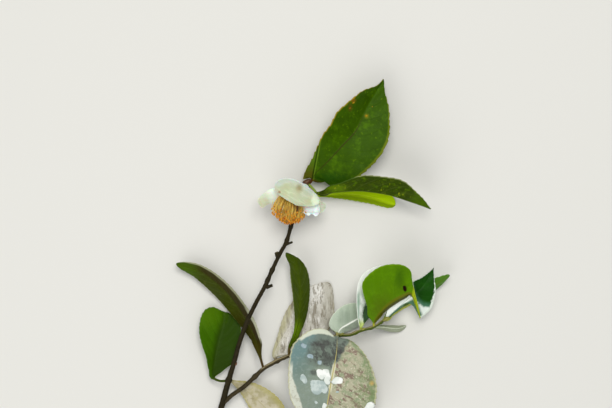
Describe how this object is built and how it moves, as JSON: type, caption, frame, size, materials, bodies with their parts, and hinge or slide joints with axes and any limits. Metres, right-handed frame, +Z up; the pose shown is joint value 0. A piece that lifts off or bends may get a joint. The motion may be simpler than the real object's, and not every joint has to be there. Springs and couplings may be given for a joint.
{
  "type": "cut flowering tea bush branch",
  "caption": "Cut branch of a tea bush lying flat: a flowering twig and a side twig on one stem, with old and young leaves and one nodding white flower with golden stamens.",
  "frame": {"origin": "middle of the sprig's plan, at the level surface that it lies on", "axes": "+Y from the stem's cut end towards the top leaf, +X towards the side twig's end, +Z up from the surface, which is towards the camera of the picture"},
  "size_m": [0.1236, 0.1641, 0.0282],
  "materials": {
    "bark": "matte",
    "calyx_green": "satin",
    "leaf_dark_green": "satin",
    "leaf_olive": "satin",
    "leaf_bright_green": "satin",
    "leaf_lime": "satin",
    "leaf_glossy_green": "gloss",
    "leaf_pale_green": "gloss",
    "leaf_weathered": "matte",
    "leaf_yellowed": "matte",
    "petal": "satin",
    "stamen": "matte"
  },
  "bodies": {
    "root": {"stem_and_flowering_twig": "bark", "side_twig": "bark", "leaf_top_broad": "leaf_dark_green", "leaf_top_arching": "leaf_olive", "leaf_top_lime": "leaf_lime", "leaf_left_folded": "leaf_olive", "leaf_middle_upright": "leaf_olive", "leaf_round_old": "leaf_weathered", "leaf_right_cupped": "leaf_bright_green", "leaf_right_glossy": "leaf_glossy_green", "leaf_right_pale": "leaf_pale_green", "leaf_right_grey": "leaf_pale_green", "leaf_right_edge_on": "leaf_pale_green", "leaf_right_tip": "leaf_bright_green", "leaf_left_broad": "leaf_dark_green", "leaf_middle_weathered": "leaf_weathered", "leaf_base_weathered": "leaf_yellowed", "flower_stalk_and_calyx": "calyx_green", "petal_left": "petal", "petal_back": "petal", "petal_front": "petal", "petal_right": "petal", "petal_side": "petal", "stamens": "stamen"}
  },
  "joints": []
}
